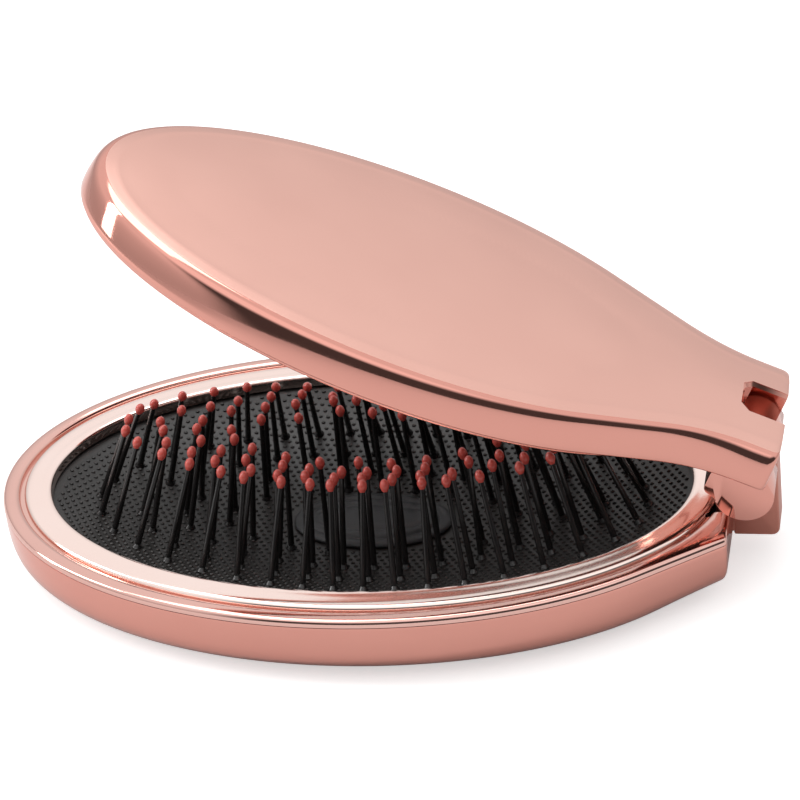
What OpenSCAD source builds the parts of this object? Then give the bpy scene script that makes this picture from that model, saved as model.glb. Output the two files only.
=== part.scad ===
// Folding hairbrush with a mirror in its lid.
// An oval base holds a rubber cushion with ball-tipped pins, and the lid swings on a
// pin at the +X end. +Z is up, and the origin is the middle of the base's underside.

/* [Base] */
// Half length of the base oval at its parting edge
base_half_len = 56; // [50:0.5:64]
// Half width of the base oval at its parting edge
base_half_w = 35.6; // [33:0.1:40]
// Height of the plain side wall, up to the parting edge
edge_h = 10.2; // [9.8:0.1:12]
// Height of the rounded shoulder above the parting edge
shoulder_h = 1.3; // [1:0.1:1.8]
// Wall of the base tray
tray_wall = 1.6; // [1.2:0.1:2.2]
// Floor of the base tray
tray_floor = 1.2; // [1:0.1:1.8]
// Distance the rounded underside is drawn in
under_in = 6.5; // [5:0.1:8]
// Half width of the neck at the hinge end
neck_half_w = 14; // [12.5:0.5:15.5]

/* [Rim ring] */
// Distance from the parting edge in to the ring's outer side
ring_in = 3.2; // [3:0.1:3.6]
// Distance from the parting edge in to the cushion opening
opening_in = 7.5; // [7:0.1:8.5]
// Height of the ring above its ledge
ring_h = 1; // [0.8:0.1:1.4]
// Depth of the ring's rolled lip below its ledge
lip_h = 0.9; // [0.6:0.1:1]

/* [Cushion] */
// Thickness of the rubber
rubber_t = 0.8; // [0.8:0.1:1]
// How far the middle of the cushion is sunk below its edge
sink = 6.4; // [5:0.1:6.6]
// Distance from the press pad's ends to the inner oval of pins
pad_gap_len = 9.9; // [9:0.1:12]
// Distance from the press pad's sides to the inner oval of pins
pad_gap_w = 1.1; // [0.9:0.1:3]

/* [Pins] */
// Thickness of a pin
pin_d = 0.9; // [0.7:0.05:1.2]
// Length of a pin, from the rubber to the middle of its ball
pin_len = 15.4; // [12:0.1:15.6]
// Thickness of a ball tip
ball_d = 1.8; // [1.5:0.1:2.2]
// How much more a pin leans than the rubber below it
lean_gain = 1.5; // [1:0.1:1.8]
// Distance from the opening's ends in to the outer oval of pins
end_margin = 7; // [6.4:0.2:8]
// Distance from the opening's sides in to the outer oval of pins
side_margin = 8.1; // [7.5:0.1:8.3]
// Distance between the ovals of pins, lengthwise
end_step = 6.4; // [5.6:0.1:6.6]
// Distance between the ovals of pins, sideways
side_step = 3.9; // [3.6:0.1:4]

/* [Hinge] */
// Distance of the hinge axis past the end of the base oval
hinge_over = 1; // [0.8:0.1:2]
// Height of the hinge axis
hinge_z = 16.4; // [16:0.1:17.5]
// Thickness of the hinge pin
axle_d = 2.5; // [2:0.1:3]
// Thickness of the knuckle between the lugs
knuckle_w = 5.6; // [5:0.1:7]
// Radius of the knuckle round the axis
knuckle_r = 4; // [3.6:0.1:4.1]
// Distance from the hinge axis to the flat front of the tongue below the knuckle
tongue_out = 4.2; // [3.8:0.1:4.2]
// Height of the tongue's underside
tongue_z = 4; // [3.6:0.1:5]
// Radius of the lid's lugs round the axis
lug_r = 4.3; // [4:0.1:4.6]
// Distance from the axis plane's middle to the outside of a lug
lug_out = 10.5; // [9.5:0.1:11]
// Thickness of a friction washer
washer_t = 0.3; // [0.3:0.05:0.6]

/* [Lid] */
// How far the lid stands open from level
open_angle = 24.7; // [2:0.1:150]
// Half length of the lid oval
lid_half_len = 47.9; // [46:0.1:49]
// Half width of the lid oval
lid_half_w = 26.1; // [25:0.1:29]
// Distance of the lid oval's middle from the base's, towards the hinge
lid_x = 0.9; // [0:0.1:1.5]
// Height of the lid's lower edge above the hinge axis, when level
lid_lift = 3.3; // [3.3:0.1:5]
// Height of the lid's side wall
lid_wall_h = 5.5; // [5.4:0.1:7]
// Rise of the domed top above the side wall
dome_h = 1.2; // [0.8:0.1:2]
// Wall of the lid
lid_wall = 1.6; // [1.2:0.1:2]
// Half width of the ears at the hinge end
ear_half_w = 12.7; // [12:0.1:14]
// Length of the ears past the hinge axis
ear_over = 1.9; // [1.5:0.1:2]

/* [Mirror] */
// Thickness of the mirror
mirror_t = 0.8; // [0.6:0.1:1]
// Thickness of the adhesive pad behind the mirror
tape_t = 0.35; // [0.2:0.05:0.5]
// Width of the mirror frame
frame_w = 4; // [3:0.1:5]
// How far the mirror frame stands out below the lid's edge
frame_out = 0.8; // [0.3:0.1:1]

/* [Clearances] */
// Gap between parts that are assembled and don't move
fit_gap = 0.1; // [0.05:0.01:0.2]
// Radial clearance of the hinge pin in the knuckle
run_gap = 0.05; // [0.03:0.01:0.08]
// Gap beside moving faces
side_gap = 0.3; // [0.25:0.01:0.5]

/* [Hidden] */
steps = 60;                                 // corners of each oval loop
hinge_x = base_half_len + hinge_over;
neck_end = hinge_x - 2.4;
neck_shape = [neck_end / base_half_len, neck_half_w / base_half_w];
neck_turn = atan2(neck_shape[1], neck_shape[0]) + acos(1 / norm(neck_shape));   // where the neck leaves the oval
ledge_z = edge_h + shoulder_h - 0.9;        // ledge that carries the rim ring
groove_w = 0.4;
cushion_z = edge_h - 0.8;                   // underside of the frame, which clamps the cushion
bowl = 2.8;                                 // how square the cushion's hollow is
lip_t = 0.6;
frame_edge = opening_in - lip_t - fit_gap;
flange_in = 5.5;
clamp_t = 1.2;
clamp_in = 3.8;
clamp_edge = frame_edge - 0.2;
clamp_z = cushion_z - rubber_t - clamp_t;
clamp_mid = clamp_in + 0.85;                // screws stand outside the rubber's edge
spigot_in = tray_wall + fit_gap + 0.15;
cup_len = base_half_len - opening_in;
cup_w = base_half_w - opening_in;
pad_half_len = pin_len_at(3) - pad_gap_len;
pad_half_w = pin_w_at(3) - pad_gap_w;
skin_t = 0.5;                               // slice of the cushion that carries each oval of pins
skin_gap = 0.3;
skin_w = 0.6;
level_z = hinge_z + lid_lift;               // lower edge of the lid when it is level
ear_end = hinge_x + ear_over;
ear_start = lid_x + lid_half_len - 6.5;     // the ears are solid from here on
ear_corner = lid_half_len - 0.4;            // where the ears' sides would meet the tangent
ear_round = 6;
slot_half_w = knuckle_w / 2 + side_gap + washer_t;
slot_in = hinge_x - max(knuckle_r, tongue_out) - 0.35;
roof = lid_wall_h - 0.45;                   // inner side of the lid's roof
tape_z = roof - tape_t;
mirror_z = tape_z - mirror_t;
frame_in = 1.6;
pocket_r = lug_r + 0.9;
bore_d = axle_d + 0.04;
foot_len = 6.8;                             // the knuckle's foot inside the neck
foot_end = neck_end - 1.2;
foot_x = foot_end - foot_len;
foot_half_w = 7.6;
foot_z = tongue_z + 0.6;
foot_h = clamp_z - 0.4 - foot_z;
foot_screw_x = foot_x + 2.6;
foot_screw_y = foot_half_w - 2.2;
foot_screw_deep = 2.2;
screw_d = 1.6;
screw_head_d = 3;
head_h = 0.7;

// An oval loop, drawn in by a distance
function oval(len, w, inset, z) =
    [for (i = [0 : steps - 1]) let (a = 360 * i / steps)
        [(len - inset) * cos(a), (w - inset) * sin(a), z]];

// The base's loop: an oval with its hinge end drawn straight in to the neck
function base_loop(inset, z) = let (len = base_half_len - inset, w = base_half_w - inset)
    concat([for (i = [0 : steps - 3])
        let (a = neck_turn + (360 - 2 * neck_turn) * i / (steps - 3)) [len * cos(a), w * sin(a), z]],
        [[neck_end - inset, 1.5 * inset - neck_half_w, z], [neck_end - inset, neck_half_w - 1.5 * inset, z]]);

// The lid's loop: an oval whose hinge end runs into two parallel ears with rounded roots
function lid_loop(inset, z) =
    let (len = lid_half_len - inset, w = lid_half_w - inset, ear = ear_half_w - inset,
        shape = [ear_corner / len, ear / w], turn = atan2(shape[1], shape[0]) + acos(1 / norm(shape)),
        root = [ear_corner, ear], tip = [ear_corner + ear_round, ear],
        start = 0.65 * root + 0.35 * [len * cos(turn), w * sin(turn)],
        side = [for (i = [0 : 5]) let (s = i / 5)
            pow(1 - s, 2) * start + 2 * s * (1 - s) * root + s * s * tip])
    concat([for (i = [0 : steps - 15]) let (a = turn + (360 - 2 * turn) * i / (steps - 15))
            [lid_x + len * cos(a), w * sin(a), z]],
        [for (i = [0 : 5]) [lid_x + side[i][0], -side[i][1], z]],
        [[ear_end, -ear, z], [ear_end, ear, z]],
        [for (i = [5 : -1 : 0]) [lid_x + side[i][0], side[i][1], z]]);

// Triangles between loop k and loop m of n corners each
function band(n, k, m) = [for (i = [0 : n - 1], t = [0, 1]) let (j = (i + 1) % n)
    t == 0 ? [k * n + i, m * n + j, k * n + j] : [k * n + i, m * n + i, m * n + j]];

function middle(l) = [(l[0][0] + l[floor(len(l) / 2)][0]) / 2, 0, l[0][2]];

// A closed solid through a list of loops, flat at both ends
module loft(loops) {
    n = len(loops[0]);
    m = len(loops);
    polyhedron(concat([for (l = loops) each l], [middle(loops[0]), middle(loops[m - 1])]),
        concat([for (i = [0 : n - 1]) [n * m, i, (i + 1) % n]],
            [for (k = [0 : m - 2]) each band(n, k, k + 1)],
            [for (i = [0 : n - 1]) [n * m + 1, (m - 1) * n + (i + 1) % n, (m - 1) * n + i]]));
}

// A closed ring through a list of loops that ends where it began
module ring_loft(loops) {
    n = len(loops[0]);
    m = len(loops);
    polyhedron([for (l = loops) each l], [for (k = [0 : m - 1]) each band(n, k, (k + 1) % m)]);
}

// Turns closed-lid coordinates to where the lid stands
module lid_place() {
    translate([hinge_x, 0, hinge_z]) rotate([0, open_angle, 0]) translate([-hinge_x, 0, -hinge_z]) children();
}

module axle(d, y1, y2) {
    translate([hinge_x, y1, hinge_z]) rotate([-90, 0, 0]) cylinder(h = y2 - y1, d = d, $fn = 48);
}

// Side of the tray, from its flat underside to the parting edge, as shares of its size
bowl_side = [[1, 0], [0.6, 0.09], [0.31, 0.2], [0.12, 0.34], [0.03, 0.52], [0, 1]];

// The tray's hollow stops short of the solid neck
function tray_hollow(inset, z) = [for (p = ring_oval(inset, z)) [min(p[0], hollow_end), p[1], z]];
hollow_end = 44;

// Half-round pockets that the lid's lugs turn in
module lug_pockets() {
    for (s = [-1, 1]) axle(2 * pocket_r, s > 0 ? knuckle_w / 2 + 0.2 : -lug_out - side_gap,
        s > 0 ? lug_out + side_gap : -knuckle_w / 2 - 0.2);
}

module knuckle_slot() {
    w = knuckle_w / 2 + fit_gap;
    translate([foot_end - fit_gap, -w, -1]) cube([9, 2 * w, 30]);
}

module foot_recess() {
    w = foot_half_w + fit_gap;
    translate([foot_x - fit_gap, -w, foot_z]) cube([foot_end - foot_x + 2 * fit_gap, 2 * w, 20]);
}

// ---- Base ----

module base_tray() {
    color("#D99A8B") difference() {
        loft([for (c = bowl_side) base_loop(c[0] * under_in, c[1] * edge_h)]);
        loft([for (c = bowl_side) tray_hollow(c[0] * under_in + tray_wall, tray_floor + c[1] * edge_h)]);
        loft([ring_oval(clamp_in - 0.2, clamp_z - 0.3), ring_oval(clamp_in - 0.2, edge_h + 1)]);
        knuckle_slot();
        foot_recess();
        lug_pockets();
        for (s = [-1, 1]) translate([foot_screw_x, s * foot_screw_y, foot_z - foot_screw_deep - 0.2])
            cylinder(h = 5, d = screw_d, $fn = 24);
    }
}

module base_frame() {
    top = edge_h + shoulder_h;
    color("#E2A597") difference() {
        union() {
            loft([base_loop(0, edge_h), base_loop(0.2, edge_h + 0.45 * shoulder_h),
                base_loop(0.9, edge_h + 0.85 * shoulder_h), base_loop(1.7, top), base_loop(ring_in - groove_w - 0.2, top)]);
            loft([tray_hollow(spigot_in, cushion_z), tray_hollow(spigot_in, edge_h + 0.2)]);
        }
        ring_seat();
        knuckle_slot();
        lug_pockets();
        clamp_holes(edge_h - 2, ledge_z - 0.4);
    }
}

module ring_seat() {
    loft([oval(base_half_len, base_half_w, ring_in - groove_w, ledge_z),
        oval(base_half_len, base_half_w, ring_in - groove_w, ledge_z + 5)]);
    loft([ring_oval(frame_edge, cushion_z - 1), ring_oval(frame_edge, ledge_z + 5)]);
}

module rim_ring() {
    b = ledge_z;
    mid = (ring_in + opening_in) / 2;
    color("#F2D6CE") difference() {
        ring_loft([ring_oval(ring_in, b), ring_oval(ring_in + 0.15, b + 0.6 * ring_h),
            ring_oval(ring_in + 0.8, b + 0.8 * ring_h), ring_oval(mid, b + 0.86 * ring_h),
            ring_oval(opening_in - 1.1, b + ring_h), ring_oval(opening_in - 0.35, b + 0.85 * ring_h),
            ring_oval(opening_in, b + 0.3 * ring_h), ring_oval(opening_in, b - lip_h),
            ring_oval(opening_in - lip_t, b - lip_h), ring_oval(opening_in - lip_t, b)]);
        lug_pockets();
    }
}

function ring_oval(inset, z) = oval(base_half_len, base_half_w, inset, z);

module clamp_ring() {
    color("#2B2B2D") difference() {
        ring_loft([ring_oval(clamp_in, clamp_z), ring_oval(clamp_in, clamp_z + clamp_t),
            ring_oval(clamp_edge, clamp_z + clamp_t), ring_oval(clamp_edge, clamp_z)]);
        clamp_holes(clamp_z - 1, clamp_z + clamp_t + 1);
    }
}

// Places of the screws round the clamp ring
module clamp_spots() {
    for (a = [45, 100, 155, 205, 260, 315]) translate([(base_half_len - clamp_mid) * cos(a),
        (base_half_w - clamp_mid) * sin(a), 0]) children();
}

module clamp_holes(z1, z2) {
    clamp_spots() translate([0, 0, z1]) cylinder(h = z2 - z1, d = screw_d, $fn = 24);
}

module clamp_screws() {
    color("#9A9A9C") clamp_spots() translate([0, 0, clamp_z - head_h]) {
        cylinder(h = head_h, d = screw_head_d, $fn = 24);
        cylinder(h = head_h + clamp_t + rubber_t + 0.7, d = screw_d - 0.1, $fn = 24);
    }
}

// ---- Cushion and pins ----

// Height of the rubber's upper side, for a place given as a share of the way to its edge
function cushion_top(q) = cushion_z - sink + sink * pow(q, bowl);
function cushion_slope(x, y) = let (q = norm([x / cup_len, y / cup_w]))
    sink * bowl * pow(q, bowl - 2) * [x / pow(cup_len, 2), y / pow(cup_w, 2)];
function cup_loop(q, z) = oval(cup_len * q, cup_w * q, 0, z);

module cushion() {
    shares = [0.12, 0.4, 0.6, 0.75, 0.87, 0.95];
    low = [for (q = shares) cup_loop(q, cushion_top(q) - rubber_t)];
    high = [for (i = [len(shares) - 1 : -1 : 0]) cup_loop(shares[i], cushion_top(shares[i]))];
    color("#1B1B1C")
        loft(concat(low, [ring_oval(frame_edge, cushion_z - rubber_t), ring_oval(flange_in, cushion_z - rubber_t),
            ring_oval(flange_in, cushion_z), cup_loop(1, cushion_z)], high));
}

module press_pad() {
    z = cushion_top(0.2) + skin_gap;
    color("#242425") loft([oval(pad_half_len, pad_half_w, 0, z), oval(pad_half_len, pad_half_w, 0.1, z + 0.5),
        oval(pad_half_len, pad_half_w, 0.5, z + 0.8)]);
}

pin_counts = [38, 32, 26, 18];
function pin_len_at(k) = cup_len - end_margin - k * end_step;
function pin_w_at(k) = cup_w - side_margin - k * side_step;

// Foot of pin i on oval k, and the middle of its ball. Pins lean with the hollow of the rubber
function pin_foot(k, i) =
    let (t = 360 * (i + 0.5 * (k % 2)) / pin_counts[k], a = t + 10 * sin(2 * t),
        x = pin_len_at(k) * cos(a), y = pin_w_at(k) * sin(a))
    [x, y, cushion_top(norm([x / cup_len, y / cup_w])) + skin_gap + skin_t];
function pin_lean(f) = let (g = lean_gain * cushion_slope(f[0], f[1]), d = [-g[0], -g[1], 1]) d / norm(d);
function pin_tip(f) = f + (pin_len - skin_gap - skin_t) * pin_lean(f);

// A band that follows the rubber carries each oval of pins
module pin_oval(k) {
    len = pin_len_at(k);
    w = pin_w_at(k);
    color("#151516") union() {
        ring_loft([for (c = [[-1, 0], [1, 0], [1, 1], [-1, 1]])
            skin_loop(len + c[0] * skin_w, w + c[0] * skin_w, skin_gap + c[1] * skin_t)]);
        for (i = [0 : pin_counts[k] - 1]) {
            foot = pin_foot(k, i);
            lean = pin_lean(foot);
            translate(foot - 0.5 * skin_t * lean)
                rotate([0, acos(lean[2]), atan2(lean[1], lean[0])])
                    cylinder(h = norm(pin_tip(foot) - foot) - 0.5 * ball_d + 0.5 * skin_t, d = pin_d, $fn = 4);
        }
    }
}

// A loop that follows the cushion's upper side
function skin_loop(len, w, lift) = [for (p = oval(len, w, 0, 0))
    [p[0], p[1], cushion_top(norm([p[0] / cup_len, p[1] / cup_w])) + lift]];

module ball_oval(k) {
    color("#C4554A") for (i = [0 : pin_counts[k] - 1]) translate(pin_tip(pin_foot(k, i))) sphere(d = ball_d, $fn = 16);
}

module pins_outer() pin_oval(0);
module pins_second() pin_oval(1);
module pins_third() pin_oval(2);
module pins_inner() pin_oval(3);
module balls_outer() ball_oval(0);
module balls_second() ball_oval(1);
module balls_third() ball_oval(2);
module balls_inner() ball_oval(3);

// ---- Hinge ----

// Places of the screws that hold the knuckle's foot
module foot_spots() {
    for (s = [-1, 1]) translate([foot_screw_x, s * foot_screw_y, 0]) children();
}

module hinge_knuckle() {
    head_z = foot_z + foot_h - head_h - 0.1;
    color("#A86A5E") difference() {
        union() {
            axle(2 * knuckle_r, -knuckle_w / 2, knuckle_w / 2);
            translate([neck_end - 0.2, -knuckle_w / 2, tongue_z])
                cube([hinge_x + tongue_out - neck_end + 0.2, knuckle_w, hinge_z - tongue_z]);
            translate([foot_x, -foot_half_w, foot_z]) cube([foot_len, 2 * foot_half_w, foot_h]);
            translate([foot_x + 2, -knuckle_w / 2, foot_z]) cube([neck_end - foot_x - 2, knuckle_w, foot_h]);
        }
        axle(axle_d + 2 * run_gap, -knuckle_w, knuckle_w);
        foot_spots() cylinder(h = 20, d = screw_d + 0.1, $fn = 24);
        foot_spots() translate([0, 0, head_z]) cylinder(h = 5, d = screw_head_d + 0.2, $fn = 24);
    }
}

module knuckle_screws() {
    head_z = foot_z + foot_h - head_h - 0.1;
    color("#9A9A9C") foot_spots() {
        translate([0, 0, foot_z - foot_screw_deep])
            cylinder(h = head_z + head_h - foot_z + foot_screw_deep, d = screw_d - 0.1, $fn = 24);
        translate([0, 0, head_z]) cylinder(h = head_h, d = screw_head_d, $fn = 24);
    }
}

module hinge_pin() {
    color("#B9B9BC") lid_place() axle(axle_d, 1 - lug_out, lug_out - 1);
}

module friction_washers() {
    color("#C9C9C4") for (s = [-1, 1]) lid_place() difference() {
        a = s > 0 ? knuckle_w / 2 + side_gap - 0.02 : -knuckle_w / 2 - side_gap - washer_t + 0.02;
        axle(2 * knuckle_r - 1.6, a, a + washer_t);
        axle(axle_d + 0.2, a - 1, a + 2);
    }
}

// ---- Lid ----

// Side view of a lug: a round end on the axis, and a lobe that reaches back under the lid
module lug(y1, y2) {
    axle(2 * lug_r, y1, y2);
    translate([0, y2, 0]) rotate([90, 0, 0]) linear_extrude(y2 - y1)
        polygon([[hinge_x - 5.4, level_z + 0.5], [hinge_x - 5.7, hinge_z - 0.5], [hinge_x - 5, hinge_z - 1.8],
            [hinge_x - 3.6, hinge_z - 2.3], [hinge_x, hinge_z], [hinge_x + 3.8, hinge_z + 2], [ear_end, level_z + 0.5]]);
}

module lid_shell() {
    z = level_z;
    top = z + lid_wall_h;
    color("#E8BEB1") lid_place() difference() {
        union() {
            loft([lid_loop(0, z), lid_loop(0.1, z + 0.3), lid_loop(1.1, top - 0.6), lid_loop(1.6, top),
                lid_loop(4, top + 0.3 * dome_h), lid_loop(8, top + 0.6 * dome_h), lid_loop(12.2, top + 0.8 * dome_h)]);
            loft([lid_oval(11, top + 0.7 * dome_h), lid_oval(17, top + 0.95 * dome_h), lid_oval(24, top + dome_h)]);
            for (s = [-1, 1]) lug(s > 0 ? slot_half_w : -lug_out, s > 0 ? lug_out : -slot_half_w);
        }
        loft([lid_hollow(lid_wall, z - 1), lid_hollow(lid_wall, z), lid_hollow(lid_wall + 0.9, z + roof)]);
        translate([slot_in, -slot_half_w, z - 0.1]) cube([20, 2 * slot_half_w, lid_wall_h + dome_h + 2]);
        axle(bore_d, 0.9 - lug_out, lug_out - 0.9);
    }
}

function lid_oval(inset, z) = [for (p = oval(lid_half_len, lid_half_w, inset, z)) [p[0] + lid_x, p[1], z]];
function lid_hollow(inset, z) = [for (p = lid_oval(inset, z)) [min(p[0], ear_start + lid_wall - inset), p[1], z]];

module mirror_frame() {
    a = frame_in + fit_gap + 0.1;
    z = level_z;
    color("#CF8878") lid_place() ring_loft([lid_hollow(a, z - frame_out + 0.2), lid_hollow(a + 0.3, z - frame_out),
        lid_hollow(a + frame_w - 0.6, z - frame_out), lid_hollow(a + frame_w - 0.3, z - frame_out + 0.2),
        lid_hollow(a + frame_w, z + mirror_z - 0.05), lid_hollow(a + 0.6, z + mirror_z - 0.05)]);
}

module mirror() {
    z = level_z + mirror_z;
    color("#DDE3E6") lid_place() loft([lid_hollow(frame_in + 1.2, z), lid_hollow(frame_in + 1.2, z + mirror_t)]);
}

module mirror_tape() {
    z = level_z + tape_z;
    color("#F4F4F0") lid_place() loft([lid_hollow(frame_in + 3, z), lid_hollow(frame_in + 3, z + tape_t)]);
}

base_tray();
base_frame();
rim_ring();
clamp_ring();
clamp_screws();
cushion();
press_pad();
pins_outer();
pins_second();
pins_third();
pins_inner();
balls_outer();
balls_second();
balls_third();
balls_inner();
hinge_knuckle();
knuckle_screws();
hinge_pin();
friction_washers();
lid_shell();
mirror_frame();
mirror();
mirror_tape();
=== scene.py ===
import bpy, bmesh, math, random
from mathutils import Matrix, Vector


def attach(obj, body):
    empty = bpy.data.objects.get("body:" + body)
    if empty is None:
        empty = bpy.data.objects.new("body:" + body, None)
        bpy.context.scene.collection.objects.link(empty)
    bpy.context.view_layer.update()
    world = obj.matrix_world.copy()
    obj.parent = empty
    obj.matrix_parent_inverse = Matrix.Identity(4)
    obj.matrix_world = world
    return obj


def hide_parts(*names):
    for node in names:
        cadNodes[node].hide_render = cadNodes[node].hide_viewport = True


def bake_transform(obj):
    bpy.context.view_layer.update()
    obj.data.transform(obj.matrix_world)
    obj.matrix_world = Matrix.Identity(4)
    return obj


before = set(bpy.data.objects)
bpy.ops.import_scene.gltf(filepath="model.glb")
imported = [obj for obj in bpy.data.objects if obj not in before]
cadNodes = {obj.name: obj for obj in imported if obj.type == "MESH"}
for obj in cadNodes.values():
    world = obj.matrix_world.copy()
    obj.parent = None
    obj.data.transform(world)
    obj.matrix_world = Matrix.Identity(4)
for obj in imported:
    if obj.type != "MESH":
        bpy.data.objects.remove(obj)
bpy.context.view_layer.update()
print("frame loaded")

# all sizes below are in millimetres, and become metres where a mesh is made
mm = 0.001
crease = 38   # edges sharper than this many degrees stay crisp


def addNode(tree, kind, inputs=None, **settings):
    node = tree.nodes.new(kind)
    for name, value in settings.items():
        setattr(node, name, value)
    for name, value in (inputs or {}).items():
        socket = node.inputs[name]
        if isinstance(value, bpy.types.NodeSocket):
            tree.links.new(value, socket)
        else:
            socket.default_value = value
    return node


# Carries value from the range low to high over to the range start to end
def ramp(tree, value, low, high, start, end, ease="LINEAR"):
    node = addNode(tree, "ShaderNodeMapRange", {"Value": value, "From Min": low, "From Max": high,
                                                "To Min": start, "To Max": end}, interpolation_type=ease)
    return node.outputs["Result"]


def hexColour(text):
    parts = [int(text[i:i + 2], 16) / 255 for i in (1, 3, 5)]
    return tuple(c / 12.92 if c <= 0.04045 else ((c + 0.055) / 1.055) ** 2.4 for c in parts) + (1.0,)


# tint is the two colours that drift into each other over the piece, grain the size in mm of the fine texture,
# depth how far that stands out in mm, and streak how much the gloss varies
finishTable = {
    # vacuum-metallised ABS under clear lacquer: a tinted mirror with a faint ripple from the moulding
    "polishedRoseGold": dict(tint=("#D7978A", "#DC9E90"), metallic=1.0, roughness=0.09, grain=1.6, depth=0.0025),
    # the same film over a satin-moulded face: the light spreads, and the paler tint is painted sheen, a lighter copy of
    # the walls' colour for the lid's top
    "satinRoseGoldPaintedSheen": dict(tint=("#DFADA0", "#E4B5A8"), metallic=1.0, roughness=0.34, grain=0.45, depth=0.004),
    # the pressed-in rim ring, metallised over a bright undercoat
    "paleRoseGold": dict(tint=("#F1D8CF", "#F5E1DA"), metallic=1.0, roughness=0.12, grain=1.4, depth=0.0025),
    # the base's shoulder: the same film as the walls, with a paler tint that is painted sheen for its upward-facing
    # roll
    "shoulderRoseGoldPaintedSheen": dict(tint=("#DCAEA3", "#E2B7AD"), metallic=1.0, roughness=0.1, grain=1.6, depth=0.0025),
    # acetal knuckle sprayed with metallic paint: duller and browner, with a soft gloss
    "knucklePaint": dict(tint=("#BA7A6B", "#C58576"), metallic=0.75, roughness=0.4, grain=0.3, depth=0.006),
    # moulded elastomer: nearly black, with a soft sheen on its raised dots
    "blackElastomer": dict(tint=("#161312", "#1F1B19"), roughness=0.42, grain=0.4, depth=0.01),
    # moulded nylon pins: smooth black with a narrow highlight
    "blackNylon": dict(tint=("#181616", "#1F1C1C"), roughness=0.24, grain=0.5, depth=0.002, streak=0.04),
    # dipped tips: brick rose resin with a wet gloss
    "dippedTip": dict(tint=("#BD4C44", "#C9594F"), roughness=0.14, grain=0.8, depth=0.004, streak=0.05),
    # unpainted moulded ABS
    "blackAbs": dict(tint=("#222224", "#29292B"), roughness=0.5, grain=0.35, depth=0.01),
    # turned and tumbled steel
    "screwSteel": dict(tint=("#AEAFB2", "#BDBEC0"), metallic=1.0, roughness=0.32, grain=0.3, depth=0.004),
    # natural nylon sheet, stamped
    "naturalNylon": dict(tint=("#CFCEC4", "#D8D7CE"), roughness=0.45, grain=0.5, depth=0.006),
    # silvered float glass
    "silveredGlass": dict(tint=("#E6EAEA", "#E9ECEC"), metallic=1.0, roughness=0.04, grain=6, depth=0.0004,
                          streak=0.02),
    # white foam adhesive pad
    "foamTape": dict(tint=("#EDEDE8", "#F3F3EF"), roughness=0.85, grain=0.25, depth=0.02),
}
driftSize = 14   # mm over which tint and gloss drift


def makeFinish(name, tint, roughness, grain, depth, metallic=0.0, streak=0.06):
    finish = bpy.data.materials.new(name)
    finish.use_nodes = True
    tree = finish.node_tree
    shader = tree.nodes["Principled BSDF"]
    shader.inputs["Metallic"].default_value = metallic
    spot = addNode(tree, "ShaderNodeTexCoord").outputs["Object"]
    broad, fine = (addNode(tree, "ShaderNodeTexNoise", {"Vector": spot, "Scale": 1 / (size * mm),
                                                        "Detail": detail}).outputs["Fac"]
                   for size, detail in ((driftSize, 3.0), (grain, 2.0)))
    tone = addNode(tree, "ShaderNodeMix", {"Factor": broad, "A": hexColour(tint[0]), "B": hexColour(tint[1])},
                   data_type="RGBA")
    gloss = ramp(tree, broad, 0.3, 0.7, roughness - streak / 2, roughness + streak / 2)
    bump = addNode(tree, "ShaderNodeBump", {"Height": fine, "Distance": depth * mm, "Strength": 1.0})
    tree.links.new(tone.outputs["Result"], shader.inputs["Base Color"])
    tree.links.new(gloss, shader.inputs["Roughness"])
    tree.links.new(bump.outputs["Normal"], shader.inputs["Normal"])
    return finish


finishes = {name: makeFinish(name, **row) for name, row in finishTable.items()}
print("materials made")


def smooth(piece, sharp=crease):
    piece.data.polygons.foreach_set("use_smooth", [True] * len(piece.data.polygons))
    piece.data.set_sharp_from_angle(angle=math.radians(sharp))


def finishMesh(name, points, faces, finishNames, faceFinish=None, sharp=crease):
    mesh = bpy.data.meshes.new(name)
    mesh.from_pydata([tuple(c * mm for c in p) for p in points], [], faces)
    piece = bpy.data.objects.new(name, mesh)
    bpy.context.scene.collection.objects.link(piece)
    for finishName in finishNames:
        mesh.materials.append(finishes[finishName])
    if faceFinish:
        mesh.polygons.foreach_set("material_index", faceFinish)
    work = bmesh.new()
    work.from_mesh(mesh)
    bmesh.ops.recalc_face_normals(work, faces=work.faces)
    work.to_mesh(mesh)
    work.free()
    smooth(piece, sharp)
    return piece


# A solid through loops of equal length. It closes on itself when ring is true, and otherwise ends in caps
def loftPiece(name, loops, finishNames, ring=False, bandFinish=None, sharp=crease):
    count, last = len(loops[0]), len(loops) - 1
    bandFinish = bandFinish or [0] * len(loops)
    points = [p for loop in loops for p in loop]
    faces, faceFinish = [], []
    for k in range(len(loops) if ring else last):
        m = (k + 1) % len(loops)
        for i in range(count):
            j = (i + 1) % count
            faces.append((k * count + i, k * count + j, m * count + j, m * count + i))
            faceFinish.append(bandFinish[k])
    for k in () if ring else (0, last):
        middle = len(points)
        points.append((sum(p[0] for p in loops[k]) / count, 0, sum(p[2] for p in loops[k]) / count))
        for i in range(count):
            a, b = k * count + i, k * count + (i + 1) % count
            faces.append((a, b, middle) if k else (b, a, middle))
            faceFinish.append(bandFinish[min(k, len(bandFinish) - 1)])
    return finishMesh(name, points, faces, finishNames, faceFinish, sharp)


# A prism along Y from a side view in x and z
def prismPiece(name, outline, y1, y2, finishName="blackAbs"):
    count = len(outline)
    points = [(x, y1, z) for x, z in outline] + [(x, y2, z) for x, z in outline]
    faces = [tuple(range(count)), tuple(range(2 * count - 1, count - 1, -1))]
    faces += [(i, (i + 1) % count, count + (i + 1) % count, count + i) for i in range(count)]
    return finishMesh(name, points, faces, [finishName])


# A straight box from two of its corners
def boxPiece(name, low, high, finishName="blackAbs"):
    (x1, y1, z1), (x2, y2, z2) = low, high
    return prismPiece(name, [(x1, z1), (x2, z1), (x2, z2), (x1, z2)], y1, y2, finishName)


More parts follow.
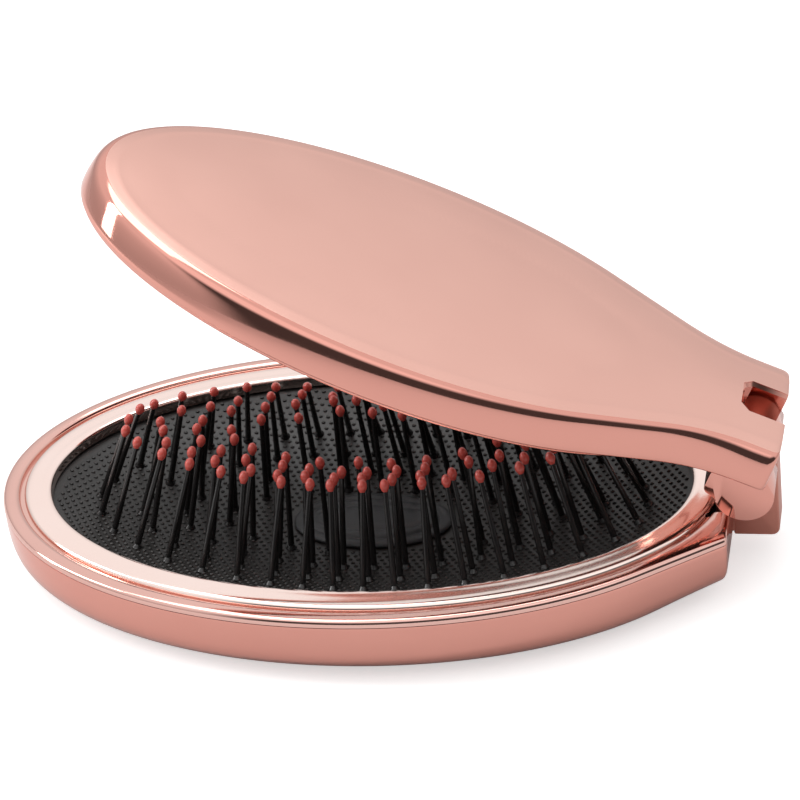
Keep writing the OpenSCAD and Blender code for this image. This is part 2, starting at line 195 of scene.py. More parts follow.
def arc(cx, cz, r, start, end, steps):
    turns = [math.radians(start + (end - start) * i / steps) for i in range(steps + 1)]
    return [(cx + r * math.cos(turn), cz + r * math.sin(turn)) for turn in turns]


# Turns the evaluated object into its own plain mesh
def bake(piece, sharp=crease):
    bpy.context.view_layer.update()
    graph = bpy.context.evaluated_depsgraph_get()
    shown = piece.evaluated_get(graph)
    mesh = bpy.data.meshes.new_from_object(shown, preserve_all_data_layers=True, depsgraph=graph)
    piece.modifiers.clear()
    piece.data = mesh
    smooth(piece, sharp)


def carve(piece, cutters, operation="DIFFERENCE"):
    for cutter in cutters:
        step = piece.modifiers.new("carve", "BOOLEAN")
        step.object, step.operation, step.solver = cutter, operation, "EXACT"
    bake(piece)
    for cutter in cutters:
        bpy.data.objects.remove(cutter)


def bevelEdges(piece, width, segments=3):
    step = piece.modifiers.new("bevel", "BEVEL")
    step.width, step.segments = width * mm, segments
    step.limit_method, step.angle_limit = "ANGLE", math.radians(40)
    bake(piece)


def oval(halfLength, halfWidth, inset, z, count=240, centreX=0.0):
    turns = [2 * math.pi * i / count for i in range(count)]
    return [(centreX + (halfLength - inset) * math.cos(turn), (halfWidth - inset) * math.sin(turn), z)
            for turn in turns]


# A corner rounded by the quadratic curve from first to last
def roundCorner(first, corner, last, steps, skip=0):
    shares = [i / steps for i in range(skip, steps + 1)]
    return [(1 - s) ** 2 * first + 2 * s * (1 - s) * corner + s * s * last for s in shares]


# Outline of a shell: an oval whose hinge end runs along tangents into two corners and an end face.
# Going in by inset draws the root corners in by rootPull along X and by rootDraw along Y
def shellLoop(shape, inset, z):
    length, width = shape["halfLength"] - inset, shape["halfWidth"] - inset
    root = Vector((shape["rootX"] - shape["rootPull"] * inset, shape["rootY"] - shape["rootDraw"] * inset))
    endX = shape["endX"] - shape["rootPull"] * inset
    scaled = Vector((root.x / length, root.y / width))
    turn = math.atan2(scaled.y, scaled.x) + math.acos(1 / max(scaled.length, 1.0001))
    leave = Vector((length * math.cos(turn), width * math.sin(turn)))   # where the tangent leaves the oval
    half = [Vector((length * math.cos(a), width * math.sin(a))) for a in
            (math.pi + (turn - math.pi) * i / 84 for i in range(85))]
    start = root + shape["blendShare"] * (leave - root)
    half += [leave + (start - leave) * i / 12 for i in range(1, 13)]
    if shape["blendLength"] > 0:
        half += roundCorner(start, root, root + Vector((shape["blendLength"], 0)), 12, skip=1)
    corner, before = Vector((endX, root.y)), half[-1]
    r = min(shape["cornerRound"], max(root.y * 0.45, 0.02))
    first = corner + (before - corner).normalized() * min(r, (before - corner).length * 0.9)
    last = corner - Vector((0, min(r, root.y * 0.9)))
    half += [before + (first - before) * i / 4 for i in range(1, 4)]
    half += roundCorner(first, corner, last, 6)
    half += [last + (Vector((endX, 0)) - last) * i / 6 for i in range(1, 6)]
    full = half + [Vector((endX, 0))] + [Vector((p.x, -p.y)) for p in reversed(half[1:])]
    return [(p.x + shape["centreX"], p.y, z) for p in full]


# An oval cut straight at endX, with as many corners as the shell's own outline and in the same order
def hollowLoop(shape, inset, z, endX):
    count = len(shellLoop(shape, 0, 0))
    loop = oval(shape["halfLength"], shape["halfWidth"], inset, z, count, shape["centreX"])
    loop = loop[count // 2:] + loop[:count // 2]
    return [(min(x, endX), y, height) for x, y, height in [loop[0]] + loop[:0:-1]]


# A smooth curve through pairs of x and y, with steps places from each pair to the next
def softCurve(pairs, steps):
    out = []
    for k in range(len(pairs) - 1):
        p0, p1, p2, p3 = (Vector(pairs[min(max(k + d, 0), len(pairs) - 1)]) for d in (-1, 0, 1, 2))
        for i in range(steps):
            s = i / steps
            out.append(0.5 * ((2 * p1) + (p2 - p0) * s + (2 * p0 - 5 * p1 + 4 * p2 - p3) * s * s
                              + (3 * p1 - p0 - 3 * p2 + p3) * s ** 3))
    return out + [Vector(pairs[-1])]


# Profiles are pairs of inset from the outline and height above z
def lift(profile, z):
    return [(inset, z + height) for inset, height in profile]


def place(piece, body, nodes):
    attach(piece, body)
    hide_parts(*nodes)
    print("made", piece.name)


base = {"halfLength": 56.0, "halfWidth": 35.6, "rootX": 54.6, "rootY": 14.0, "rootPull": 1.0, "rootDraw": 1.35,
        "endX": 54.6, "centreX": 0.0, "blendShare": 0.03, "blendLength": 0, "cornerRound": 0.7,
        "edge": 10.2, "wall": 1.6, "floor": 1.2, "underIn": 6.5, "hollowEnd": 44.0, "cupLength": 48.5, "cupWidth": 28.1,
        "clampZ": 7.4, "clampRoomIn": 3.6, "ringUp": 0.4, "ringSteps": 300, "shoulderPull": 0.45,
        # share of underIn and share of edge, from the flat underside up to the parting line
        "side": [(1, 0), (0.6, 0.09), (0.31, 0.2), (0.12, 0.34), (0.03, 0.52), (0, 0.78), (0, 0.985), (0.02, 1)],
        "shoulder": [(0.14, 0.02), (0.0, 0.12), (0.01, 0.3), (0.05, 0.6), (0.14, 0.85), (0.32, 1.05), (0.62, 1.19),
                     (1.05, 1.27), (1.6, 1.3)],
        "groove": [(6.8, -2), (6.8, 0.4), (2.6, 0.4), (2.6, 0.7), (2.5, 0.95), (2.28, 1.15), (2.0, 1.25), (1.75, 1.32),
                   (1.75, 3)],
        "ring": [(3.24, 0), (3.26, 0.25), (3.36, 0.5), (3.52, 0.72), (3.78, 0.88), (4.15, 0.96), (4.7, 0.98),
                 (5.5, 0.96), (6.2, 0.97), (6.7, 1.0), (7.1, 0.95), (7.35, 0.8),
                 (7.48, 0.55), (7.5, 0.2), (7.5, -0.8), (7.42, -0.9),
                 (7.0, -0.9), (6.92, -0.8), (6.92, 0)]}
hinge = {"x": 57.0, "z": 16.4, "knuckleRadius": 4.0, "knuckleWidth": 5.6, "tongueOut": 4.2, "tongueZ": 4.0,
         "tongueBack": 54.5, "tongueRound": 1.2, "lugRadius": 4.3, "lugOut": 10.5, "lugGap": 0.9, "roomFrom": 2.9,
         "roomTo": 10.8, "slotHalf": 3.4, "bore": 2.6, "footX": 46.6,
         "footEnd": 53.4, "footHalf": 7.6, "footZ": 4.6, "footHeight": 2.4, "pinRadius": 1.27, "pinHalf": 9.6}


def roundBar(name, radius, y1, y2, steps=48):
    outline = arc(hinge["x"], hinge["z"], radius, 0, 360 - 360 / steps, steps - 1)
    return prismPiece(name, outline, y1, y2)


# Room for the knuckle and its foot, and for the lid's two lugs
def knuckleRoom(clear=0.1):
    h = hinge
    half, foot = h["knuckleWidth"] / 2 + clear, h["footHalf"] + clear
    return [boxPiece("roomA", (h["footEnd"] - 0.6, -half, h["tongueZ"] - clear), (62, half, 30)),
            boxPiece("roomB", (h["footX"] - clear, -foot, h["footZ"]), (h["footEnd"] + clear, foot, 30))]


def lugRoom():
    radius, near, far = hinge["lugRadius"] + hinge["lugGap"], hinge["roomFrom"], hinge["roomTo"]
    return [roundBar("pocket", radius, *span) for span in ((near, far), (-far, -near))]


def makeBase():
    b, z = base, base["edge"]
    side = softCurve(b["side"], 4)
    outer = [shellLoop(b, max(p.x, 0) * b["underIn"], min(max(p.y, 0), 1) * z) for p in side]
    inner = [hollowLoop(b, b["wall"] + max(p.x, 0) * b["underIn"], min(b["floor"] + max(p.y, 0) * z, z), b["hollowEnd"])
             for p in reversed(side[:-8:2])]
    tray = loftPiece("baseTray", outer + inner, ["polishedRoseGold"])
    room = [oval(b["halfLength"], b["halfWidth"], b["clampRoomIn"], height, 120)
            for height in (b["clampZ"] - 0.3, z + 1)]
    carve(tray, [loftPiece("clampRoom", room, ["polishedRoseGold"])])
    carve(tray, knuckleRoom())
    place(tray, "base", ["base_tray"])

    # the shoulder rolls up from the parting line, and the groove beside the ring shows as a dark line
    rolled = dict(b, rootPull=b["shoulderPull"])
    spigot = [(min(x, b["hollowEnd"] - 0.3), y, height) for x, y, height in hollowLoop(b, 1.85, z - 0.8, 60)]
    loops = [spigot, [(x, y, z + 0.02) for x, y, height in spigot]]
    loops += [shellLoop(rolled, inset, height) for inset, height in lift(b["shoulder"], z)]
    # the shoulder's paler tint is painted sheen, a lighter copy of the walls' film
    shoulder = loftPiece("baseShoulder", loops, ["shoulderRoseGoldPaintedSheen"])
    loops = [oval(b["halfLength"], b["halfWidth"], inset, height) for inset, height in lift(b["groove"], z)]
    carve(shoulder, [loftPiece("groove", loops, ["shoulderRoseGoldPaintedSheen"])])
    carve(shoulder, knuckleRoom() + lugRoom())
    place(shoulder, "base", ["base_frame"])

    loops = [oval(b["halfLength"], b["halfWidth"], inset, height, b["ringSteps"])
             for inset, height in lift(b["ring"], z + b["ringUp"])]
    ring = loftPiece("rimRing", loops, ["paleRoseGold"], ring=True)
    carve(ring, lugRoom())
    place(ring, "base", ["rim_ring"])


makeBase()


# A node group with geometry in and out, and with the other inputs that are named
def startTree(name, sockets):
    tree = bpy.data.node_groups.new(name, "GeometryNodeTree")
    for way in ("INPUT", "OUTPUT"):
        tree.interface.new_socket("Geometry", in_out=way, socket_type="NodeSocketGeometry")
    for socketName, kind in sockets.items():
        tree.interface.new_socket(socketName, in_out="INPUT", socket_type="NodeSocket" + kind)
    return tree, addNode(tree, "NodeGroupInput").outputs


def endTree(tree, geometry, material):
    real = addNode(tree, "GeometryNodeRealizeInstances", {"Geometry": geometry})
    painted = addNode(tree, "GeometryNodeSetMaterial", {"Geometry": real.outputs[0], "Material": material})
    addNode(tree, "NodeGroupOutput", {0: painted.outputs[0]})
    return tree


def runTree(piece, tree, values):
    step = piece.modifiers.new(tree.name, "NODES")
    step.node_group = tree
    names = {s.name: s.identifier for s in tree.interface.items_tree if s.in_out == "INPUT"}
    for name, value in values.items():
        step[names[name]] = value
    bake(piece)


def positionOf(tree):
    return addNode(tree, "GeometryNodeInputPosition").outputs[0]


def splitPosition(tree):
    return addNode(tree, "ShaderNodeSeparateXYZ", {0: positionOf(tree)}).outputs


def joinGeometry(tree, *parts):
    joined = addNode(tree, "GeometryNodeJoinGeometry")
    for part in parts:
        tree.links.new(part, joined.inputs[0])
    return joined.outputs[0]


cushion = {"edgeZ": 9.4, "sink": 6.4, "bowl": 2.8, "rubber": 0.8, "flangeIn": 5.5, "steps": 200,
           "dotPitch": 1.18, "rowShare": 0.82, "dotColumns": 83, "dotRows": 59, "dotWidth": 0.76, "dotLength": 0.6,
           "dotHeight": 0.3, "dotsFrom": 0.27, "dotsTo": 0.985}   # the last two are shares of the opening
pad = {"halfLength": 12.4, "halfWidth": 7.2, "up": 0.3,
       "profile": [(0.3, 0), (0.3, 0.1), (0.42, 0.3), (0.7, 0.45), (1.1, 0.52), (1.7, 0.54), (1.9, 0.4), (2.1, 0.36),
                   (2.3, 0.42), (2.5, 0.62), (2.8, 0.7), (3.6, 0.74), (3.8, 0.62), (4.1, 0.62), (4.4, 0.74),
                   (5.6, 0.79), (6.6, 0.8)]}


# Height of the bowl, where share is 0 in the middle and 1 at the ring
def cushionTop(share):
    return cushion["edgeZ"] - cushion["sink"] + cushion["sink"] * share ** cushion["bowl"]


# Raised dots in staggered rows, laid over the bowl and kept inside its edge
def makeDotTree():
    tree, given = startTree("cushionDots", {
        "Half Length": "Float", "Half Width": "Float", "Edge Height": "Float", "Sink": "Float", "Bowl": "Float",
        "Pitch": "Float", "Columns": "Int", "Rows": "Int", "Dot Size": "Vector", "Material": "Material"})

    def work(operation, a, b=0.0):
        return addNode(tree, "ShaderNodeMath", {0: a, 1: b}, operation=operation).outputs[0]

    def shareOf(x, y):
        a, b = work("DIVIDE", x, given["Half Length"]), work("DIVIDE", y, given["Half Width"])
        return work("SQRT", work("ADD", work("MULTIPLY", a, a), work("MULTIPLY", b, b)))

    grid = addNode(tree, "GeometryNodeMeshGrid", {
        "Size X": work("MULTIPLY", given["Columns"], given["Pitch"]),
        "Size Y": work("MULTIPLY", given["Rows"], work("MULTIPLY", given["Pitch"], cushion["rowShare"])),
        "Vertices X": given["Columns"], "Vertices Y": given["Rows"]})
    spot = splitPosition(tree)
    row = work("FLOORED_MODULO", addNode(tree, "GeometryNodeInputIndex").outputs[0], given["Rows"])
    odd = work("FLOORED_MODULO", row, 2.0)
    x = work("ADD", spot["X"], work("MULTIPLY", odd, work("MULTIPLY", given["Pitch"], 0.5)))
    rise = work("MULTIPLY", given["Sink"], work("POWER", shareOf(x, spot["Y"]), given["Bowl"]))
    height = work("ADD", work("SUBTRACT", given["Edge Height"], given["Sink"]), rise)
    where = addNode(tree, "ShaderNodeCombineXYZ", {"X": x, "Y": spot["Y"], "Z": height}).outputs[0]
    laid = addNode(tree, "GeometryNodeSetPosition", {"Geometry": grid.outputs["Mesh"], "Position": where}).outputs[0]
    # the press pad keeps the middle free, and the dots stop short of the ring
    moved = splitPosition(tree)
    reach = shareOf(moved["X"], moved["Y"])
    outside = addNode(tree, "FunctionNodeCompare", {"A": reach, "B": cushion["dotsTo"]}, operation="GREATER_THAN")
    inside = addNode(tree, "FunctionNodeCompare", {"A": reach, "B": cushion["dotsFrom"]}, operation="LESS_THAN")
    either = addNode(tree, "FunctionNodeBooleanMath", {0: outside.outputs[0], 1: inside.outputs[0]}, operation="OR")
    kept = addNode(tree, "GeometryNodeDeleteGeometry", {"Geometry": laid, "Selection": either.outputs[0]},
                   domain="POINT")
    dot = addNode(tree, "GeometryNodeMeshIcoSphere", {"Radius": 0.5, "Subdivisions": 1})
    spread = addNode(tree, "GeometryNodeInstanceOnPoints", {
        "Points": kept.outputs[0], "Instance": dot.outputs["Mesh"], "Scale": given["Dot Size"]})
    return endTree(tree, joinGeometry(tree, spread.outputs[0], given["Geometry"]), given["Material"])


def makeCushion():
    c, length, width = cushion, base["cupLength"], base["cupWidth"]
    shares = [0.03 + 0.97 * (i / 40) for i in range(41)]
    top = [oval(length * s, width * s, 0, cushionTop(s), c["steps"]) for s in shares]
    under = [oval(length * s, width * s, 0, cushionTop(s) - c["rubber"], c["steps"]) for s in shares[::4][:-1]]
    flange = [oval(base["halfLength"], base["halfWidth"], c["flangeIn"], height, c["steps"])
              for height in (c["edgeZ"] - c["rubber"], c["edgeZ"])]
    bowl = loftPiece("cushion", under + flange + top[::-1], ["blackElastomer"], sharp=60)
    runTree(bowl, makeDotTree(), {
        "Half Length": length * mm, "Half Width": width * mm, "Edge Height": c["edgeZ"] * mm, "Sink": c["sink"] * mm,
        "Bowl": c["bowl"], "Pitch": c["dotPitch"] * mm, "Columns": c["dotColumns"], "Rows": c["dotRows"],
        "Dot Size": (c["dotWidth"] * mm, c["dotLength"] * mm, 2 * c["dotHeight"] * mm),
        "Material": finishes["blackElastomer"]})
    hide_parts("cushion")
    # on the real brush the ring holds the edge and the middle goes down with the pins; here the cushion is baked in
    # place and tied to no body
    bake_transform(bowl)
    print("made", bowl.name, len(bowl.data.polygons))

    loops = [oval(pad["halfLength"], pad["halfWidth"], inset, height, 120)
             for inset, height in lift(pad["profile"], cushionTop(0.2) + pad["up"])]
    place(loftPiece("pressPad", loops, ["blackAbs"], sharp=50), "pin_field", ["press_pad"])


makeCushion()

# sway is how far a moulded pin stands off its true line, and skin the room over the rubber
pins = {"counts": [38, 32, 26, 18], "ovals": [(41.5, 20.0), (35.1, 16.1), (28.7, 12.2), (22.3, 8.3)], "bunch": 10,
        "length": 15.4, "skin": 0.8, "leanGain": 1.5, "sway": 0.045, "rootWidth": 0.96, "tipWidth": 0.72,
        "bossTop": 1.0, "bossRoot": 1.6, "bossHeight": 0.6, "bossDown": 0.75,
        "ballWidth": 1.46, "ballHeight": 2.25, "ballSphere": 1.8, "ballNeck": 0.62}


# Where the pins stand and which way they point
def pinRoots():
    length, width = base["cupLength"], base["cupWidth"]
    roots, leans = [], []
    chance = random.Random(11)
    for k, (ovalLength, ovalWidth) in enumerate(pins["ovals"]):
        for i in range(pins["counts"][k]):
            t = 360 * (i + 0.5 * (k % 2)) / pins["counts"][k]
            a = math.radians(t + pins["bunch"] * math.sin(math.radians(2 * t)))
            x, y = ovalLength * math.cos(a), ovalWidth * math.sin(a)
            share = math.hypot(x / length, y / width)
            steep = pins["leanGain"] * cushion["sink"] * cushion["bowl"] * share ** (cushion["bowl"] - 2)
            sway = [chance.uniform(-pins["sway"], pins["sway"]) for axis in range(2)]
            lean = Vector((sway[0] - steep * x / length ** 2, sway[1] - steep * y / width ** 2, 1)).normalized()
            roots.append((x, y, cushionTop(share) + pins["skin"]))
            leans.append(lean)
    return roots, leans


# A tapered pin on a small boss
def pinShape(tree, given):
    shaft = addNode(tree, "GeometryNodeMeshCone", {
        "Vertices": 10, "Side Segments": 3, "Radius Top": given["Tip Radius"], "Radius Bottom": given["Root Radius"],
        "Depth": given["Length"]})
    boss = addNode(tree, "GeometryNodeMeshCone", {
        "Vertices": 12, "Radius Top": pins["bossTop"] / 2 * mm, "Radius Bottom": pins["bossRoot"] / 2 * mm,
        "Depth": pins["bossHeight"] * mm})
    low = addNode(tree, "GeometryNodeTransform", {"Geometry": boss.outputs["Mesh"],
                                                  "Translation": (0, 0, -pins["bossDown"] * mm)})
    return joinGeometry(tree, shaft.outputs["Mesh"], low.outputs[0])


# A ball that narrows towards the pin, so that it is a drop
def dropShape(tree, given):
    ball = addNode(tree, "GeometryNodeMeshUVSphere", {"Segments": 14, "Rings": 10, "Radius": 0.5})
    taper = ramp(tree, splitPosition(tree)["Z"], -0.5, 0.1, pins["ballNeck"], 1.0, "SMOOTHSTEP")
    widen = addNode(tree, "ShaderNodeCombineXYZ", {"X": taper, "Y": taper, "Z": 1.0}).outputs[0]
    drop = addNode(tree, "ShaderNodeVectorMath", {0: positionOf(tree), 1: widen}, operation="MULTIPLY")
    shaped = addNode(tree, "GeometryNodeSetPosition", {"Geometry": ball.outputs["Mesh"], "Position": drop.outputs[0]})
    sized = addNode(tree, "GeometryNodeTransform", {"Geometry": shaped.outputs[0], "Scale": given["Ball Size"]})
    up = addNode(tree, "ShaderNodeCombineXYZ", {"Z": given["Length"]}).outputs[0]
    return addNode(tree, "GeometryNodeTransform", {"Geometry": sized.outputs[0], "Translation": up}).outputs[0]


# Copies of one shape stood on the roots, each along its own lean
def makePinTree(name, shape):
    tree, given = startTree(name, {"Length": "Float", "Root Radius": "Float", "Tip Radius": "Float",
                                   "Ball Size": "Vector", "Material": "Material"})
    lean = addNode(tree, "GeometryNodeInputNamedAttribute", {"Name": "lean"}, data_type="FLOAT_VECTOR")
    turn = addNode(tree, "FunctionNodeAlignRotationToVector", {"Vector": lean.outputs["Attribute"]}, axis="Z")
    stood = addNode(tree, "GeometryNodeInstanceOnPoints", {
        "Points": given["Geometry"], "Instance": shape(tree, given), "Rotation": turn.outputs[0]})
    return endTree(tree, stood.outputs[0], given["Material"])


def makePins():
    roots, leans = pinRoots()
    reach, wide, tall = pins["length"] - pins["skin"], pins["ballWidth"], pins["ballHeight"]
    ballUp = reach + pins["ballSphere"] / 2 - tall / 2   # the drops end where round balls would
    for name, shape, length, finishName, group, slotName in (
            ("pinShafts", pinShape, reach - 0.3, "blackNylon", "pins_", "black_nylon"),
            ("pinTips", dropShape, ballUp, "dippedTip", "balls_", "ball_nylon")):
        piece = finishMesh(name, roots, [], [finishName])
        stored = piece.data.attributes.new("lean", "FLOAT_VECTOR", "POINT")
        stored.data.foreach_set("vector", [c for lean in leans for c in lean])
        runTree(piece, makePinTree(name, shape), {
            "Length": length * mm, "Root Radius": pins["rootWidth"] / 2 * mm, "Tip Radius": pins["tipWidth"] / 2 * mm,
            "Ball Size": (wide * mm, wide * mm, tall * mm), "Material": finishes[finishName]})
        place(piece, "pin_field", [group + part for part in ("outer", "second", "third", "inner")])


makePins()


def makeKnuckle():
    h = hinge
    half = h["knuckleWidth"] / 2
    x, z, r, back, corner = h["x"], h["z"], h["knuckleRadius"], h["tongueBack"], h["tongueRound"]
    low = math.degrees(math.acos((x - back) / r))
    outline = arc(x + h["tongueOut"] - corner, h["tongueZ"] + corner, corner, -90, 0, 5)
    outline += [(x + h["tongueOut"], z)] + arc(x, z, r, 12, 180 + low, 28) + [(back, h["tongueZ"])]
    knuckle = prismPiece("hingeKnuckle", outline, -half, half, "knucklePaint")
    bevelEdges(knuckle, 0.3)
    footTop, inside = h["footZ"] + h["footHeight"], 0.05
    foot = boxPiece("foot", (h["footX"], -h["footHalf"], h["footZ"]), (h["footEnd"], h["footHalf"], footTop),
                    "knucklePaint")
    # joins the foot to the tongue, a little inside both
    strip = boxPiece("strip", (h["footX"] + 2, -half + inside, h["footZ"] + inside),
                     (back + 0.6, half - inside, footTop - inside), "knucklePaint")
    carve(knuckle, [strip, foot], "UNION")
    carve(knuckle, [roundBar("bore", h["bore"] / 2, -half - 1, half + 1)])
    place(knuckle, "base", ["hinge_knuckle"])


makeKnuckle()

lid = {"halfLength": 47.9, "halfWidth": 26.1, "centreX": 0.9, "rootX": 47.5, "rootY": 12.7, "rootPull": 0.0,
       "rootDraw": 1.0, "endX": 58.0, "blendShare": 0.35, "blendLength": 6.0, "cornerRound": 1.3, "angle": 24.7, "level": 19.7,
       "wallHeight": 5.5, "wall": 1.6, "roof": 5.05, "hollowEnd": 42.3, "slotIn": 52.45, "slotCut": 1.1,
       "slotFlare": 0.45, "wallBands": 12, "mirrorUp": 3.9, "mirrorThick": 0.8, "frameDown": 0.8,
       "edge": [(0.2, 0), (0.05, 0.12), (0.0, 0.3), (0.08, 1.1), (0.2, 1.9), (0.36, 2.7), (0.54, 3.45), (0.7, 4.0),
                (0.86, 4.42), (1.06, 4.78), (1.34, 5.12), (1.72, 5.38), (2.2, 5.54), (2.75, 5.64), (3.4, 5.78),
                (3.9, 5.87), (4.2, 5.89), (4.5, 5.9), (5.4, 5.98),
                (7.4, 6.14), (9.6, 6.27), (11.9, 6.38)],
       "crown": [(11.2, 0.3), (11.5, 0.86), (13.5, 0.96), (16, 1.06), (19, 1.14), (22, 1.18), (24.5, 1.2)]}


# Turns a piece made with the lid level to where the lid stands
def openLid(piece):
    centre = Vector((hinge["x"], 0, hinge["z"])) * mm
    swing = Matrix.Rotation(math.radians(lid["angle"]), 4, "Y")
    piece.data.transform(Matrix.Translation(centre) @ swing @ Matrix.Translation(-centre))


# The slot between the ears, with cut corners and a flared upper edge
def makeSlotCutter(top):
    half, start, cut, flare, away = hinge["slotHalf"], lid["slotIn"], lid["slotCut"], lid["slotFlare"], 70
    plan = [(away, -half), (away, half), (start + cut, half), (start, half - cut), (start, cut - half),
            (start + cut, -half)]
    wide = [(away, -half - flare), (away, half + flare), (start + cut - 0.2, half + flare),
            (start - flare, half - cut + 0.2), (start - flare, cut - half - 0.2), (start + cut - 0.2, -half - flare)]
    levels = ((plan, lid["level"] - 1), (plan, top + 0.15), (wide, top + 0.62), (wide, top + 4))
    return loftPiece("slotCutter", [[(x, y, height) for x, y in loop] for loop, height in levels], ["polishedRoseGold"])


# Side view of a lug: it hangs under an ear and rounds the pin
def lugSide():
    x, z, earZ = hinge["x"], hinge["z"], lid["level"]
    outline = [(x - 5.4, earZ + 0.3), (x - 5.75, earZ - 1.8)] + arc(x - 4.55, z - 0.75, 1.2, 190, 240, 4)
    outline += [(x - 3.6, z - 2.2), (x - 3.3, z - 2.6)]
    return outline + arc(x, z, hinge["lugRadius"], 218, 385, 30) + [(x + 1.9, earZ + 0.3)]


def makeLid():
    d, z = lid, lid["level"]
    top, end = z + d["wallHeight"], d["hollowEnd"] + d["wall"]
    hollow = [hollowLoop(d, inset, height, end - inset)
              for inset, height in lift([(2.5, d["roof"]), (2.1, 2.6), (1.6, 0.25), (1.45, 0.02)], z)]
    shell = [shellLoop(d, inset, height) for inset, height in lift(d["edge"], z)]
    # the top bands take the satin finish, whose paler tint is painted sheen for the lid's brighter top
    bothFinishes = ["polishedRoseGold", "satinRoseGoldPaintedSheen"]
    bands = [0] * (len(hollow) + d["wallBands"]) + [1] * (len(shell) - d["wallBands"])
    piece = loftPiece("lidShell", hollow + shell, bothFinishes, bandFinish=bands)
    loops = [oval(d["halfLength"], d["halfWidth"], inset, height, 200, d["centreX"])
             for inset, height in lift(d["crown"], top)]
    carve(piece, [loftPiece("crown", loops, bothFinishes, bandFinish=[1] * len(loops))], "UNION")
    carve(piece, [makeSlotCutter(top)])
    near, far = hinge["slotHalf"], hinge["lugOut"]
    for y1, y2 in ((-far, -near), (near, far)):
        lug = prismPiece("lug", lugSide(), y1, y2, "polishedRoseGold")
        bevelEdges(lug, 0.22, 2)
        carve(piece, [lug], "UNION")
    carve(piece, [roundBar("bore", hinge["pinRadius"], -hinge["pinHalf"], hinge["pinHalf"])])
    openLid(piece)
    place(piece, "lid", ["lid_shell"])

    # the mirror frame's lip shows as a darker line under the wall
    low, high = z - d["frameDown"], z + d["mirrorUp"] - 0.05
    profile = [(0.55, z - 0.05), (0.45, z - 0.2), (0.5, z - 0.55), (0.68, z - 0.74), (1.0, low), (4.6, low),
               (5.1, low + 0.1), (5.45, low + 0.5), (5.75, high), (2.4, high), (1.9, z + 0.1), (1.75, z - 0.05)]
    rim = loftPiece("mirrorFrame", [hollowLoop(d, inset, height, end - inset) for inset, height in profile],
                    ["polishedRoseGold"], ring=True)
    openLid(rim)
    place(rim, "lid", ["mirror_frame"])
    profile = lift([(3.3, 0), (2.85, 0.2), (2.8, 0.3), (2.8, d["mirrorThick"])], z + d["mirrorUp"])
    glass = loftPiece("mirror", [hollowLoop(d, inset, height, end - inset) for inset, height in profile],
                      ["silveredGlass"], sharp=10)
    openLid(glass)
    place(glass, "lid", ["mirror"])


makeLid()

# CAD nodes whose shape is right keep it and get their finish
keptNodes = {"clamp_ring": "blackAbs", "clamp_screws": "screwSteel", "knuckle_screws": "screwSteel",
             "hinge_pin": "screwSteel", "friction_washers": "naturalNylon", "mirror_tape": "foamTape"}
for nodeName, finishName in keptNodes.items():
    cadNodes[nodeName].data.materials.clear()
    cadNodes[nodeName].data.materials.append(finishes[finishName])
print("kept nodes dressed")

# levels are brightnesses of the sky; lamps are place and size in metres, and watts
studio = {"floorHalf": 6.0, "floorColour": "#DDDDDD", "floorLift": 0.55, "backLow": 0.62, "backHigh": 1.06,
          "frontLow": 0.08, "frontHigh": 1.35,
          "lamps": {"softBoxTop": ((-0.12, 0.1, 0.62), (0.55, 0.35), 1.6),
                    "softBoxLeft": ((-0.55, -0.05, 0.3), (0.1, 0.5), 1.3)}}


# 1 for the rays that meet the plain white background
def seenPlain(tree):
    rays = addNode(tree, "ShaderNodeLightPath").outputs
    return addNode(tree, "ShaderNodeMath", {0: rays["Is Camera Ray"], 1: rays["Is Transmission Ray"]},
                   operation="ADD", use_clamp=True).outputs[0]


def makeFloor():
    s = studio["floorHalf"]
    mesh = bpy.data.meshes.new("floor")
    mesh.from_pydata([(-s, -s, 0), (s, -s, 0), (s, s, 0), (-s, s, 0)], [], [(0, 1, 2, 3)])
    floor = bpy.data.objects.new("floor", mesh)
    bpy.context.scene.collection.objects.link(floor)
    paper = bpy.data.materials.new("studioPaper")
    paper.use_nodes = True
    tree = paper.node_tree
    shader = tree.nodes["Principled BSDF"]
    shader.inputs["Base Color"].default_value = hexColour(studio["floorColour"])
    shader.inputs["Roughness"].default_value = 0.9
    shader.inputs["Specular IOR Level"].default_value = 0.0
    level = addNode(tree, "ShaderNodeMath", {0: seenPlain(tree), 1: studio["floorLift"]}, operation="MULTIPLY")
    glow = addNode(tree, "ShaderNodeEmission", {"Color": (1, 1, 1, 1), "Strength": level.outputs[0]})
    both = addNode(tree, "ShaderNodeAddShader", {0: shader.outputs[0], 1: glow.outputs[0]})
    tree.links.new(both.outputs[0], tree.nodes["Material Output"].inputs["Surface"])
    mesh.materials.append(paper)


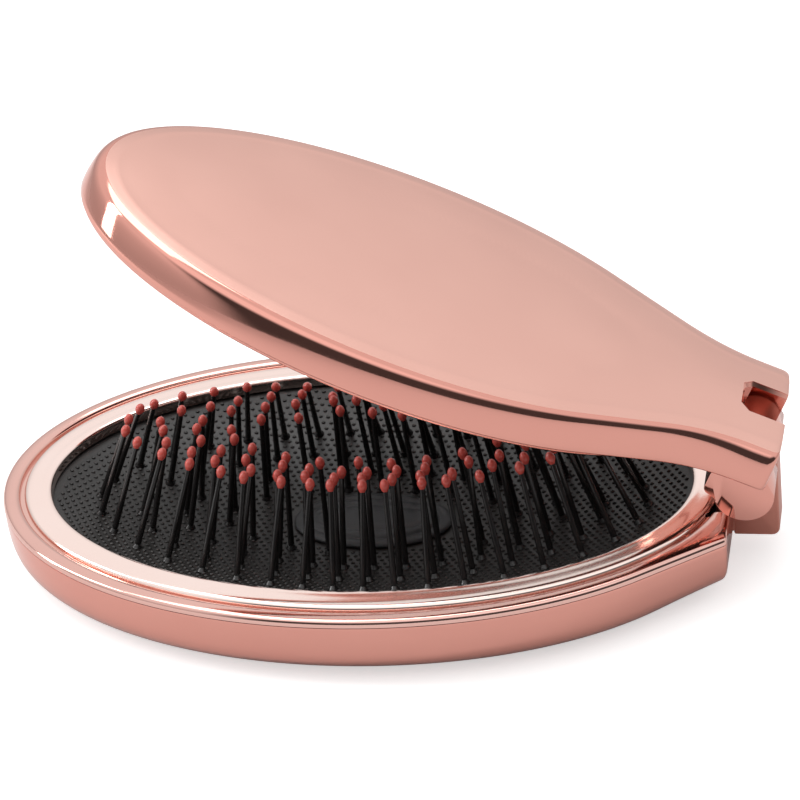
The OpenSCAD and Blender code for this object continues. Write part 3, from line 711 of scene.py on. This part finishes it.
# White paper behind, a dark room behind the camera, a white panel on the left and a wide soft box overhead
def makeSky():
    world = bpy.data.worlds.new("studioSky")
    bpy.context.scene.world = world
    world.use_nodes = True
    tree = world.node_tree
    way = addNode(tree, "ShaderNodeTexCoord").outputs["Generated"]
    way = addNode(tree, "ShaderNodeSeparateXYZ", {0: way}).outputs
    front = ramp(tree, way["Y"], 0.0, -0.35, 0.0, 1.0, "SMOOTHSTEP")
    notLeft = ramp(tree, way["X"], -0.62, -0.38, 0.0, 1.0, "SMOOTHSTEP")
    front = addNode(tree, "ShaderNodeMath", {0: front, 1: notLeft}, operation="MULTIPLY").outputs[0]
    frontLevel = ramp(tree, way["Z"], 0.5, 0.78, studio["frontLow"], studio["frontHigh"], "SMOOTHSTEP")
    backLevel = ramp(tree, way["Z"], 0.08, 0.55, studio["backLow"], studio["backHigh"])
    level = addNode(tree, "ShaderNodeMix", {"Factor": front, "A": backLevel, "B": frontLevel}).outputs["Result"]
    shown = addNode(tree, "ShaderNodeMix", {"Factor": seenPlain(tree), "A": level, "B": 1.0}).outputs["Result"]
    sky = tree.nodes["Background"]
    sky.inputs["Color"].default_value = (1, 1, 1, 1)
    tree.links.new(shown, sky.inputs["Strength"])


def makeLamps():
    for name, (spot, size, power) in studio["lamps"].items():
        lamp = bpy.data.lights.new(name, "AREA")
        lamp.shape, lamp.size, lamp.size_y, lamp.energy = "RECTANGLE", size[0], size[1], power
        holder = bpy.data.objects.new(name, lamp)
        bpy.context.scene.collection.objects.link(holder)
        holder.location = spot
        holder.rotation_euler = (Vector((0, 0, 0.01)) - Vector(spot)).to_track_quat("-Z", "Y").to_euler()


# angles in degrees, lengths in metres, and the focal length in pixels of an 800 pixel frame
view = {"azimuth": 13.02, "elevation": 33.0, "roll": -6.64, "target": (-0.00156, 0.03374, 0.0028), "distance": 0.52527,
        "focal": 3302.6, "sensor": 36}


def makeCamera():
    azimuth, elevation, roll = (math.radians(view[key]) for key in ("azimuth", "elevation", "roll"))
    flat = math.cos(elevation)
    back = Vector((math.sin(azimuth) * flat, -math.cos(azimuth) * flat, math.sin(elevation)))
    right = (-back).cross(Vector((0, 0, 1))).normalized()
    up = right.cross(-back)
    c, s = math.cos(roll), math.sin(roll)
    pose = Matrix((c * right + s * up, c * up - s * right, back)).transposed().to_4x4()
    pose.translation = Vector(view["target"]) + back * view["distance"]
    camera = bpy.data.objects.new("camera", bpy.data.cameras.new("camera"))
    bpy.context.scene.collection.objects.link(camera)
    camera.matrix_world = pose
    camera.data.sensor_width, camera.data.lens = view["sensor"], view["sensor"] * view["focal"] / 800
    camera.data.clip_start = 0.01
    bpy.context.scene.camera = camera


makeFloor()
makeSky()
makeLamps()
makeCamera()
bpy.context.scene.view_settings.view_transform = "Standard"
print("studio ready")
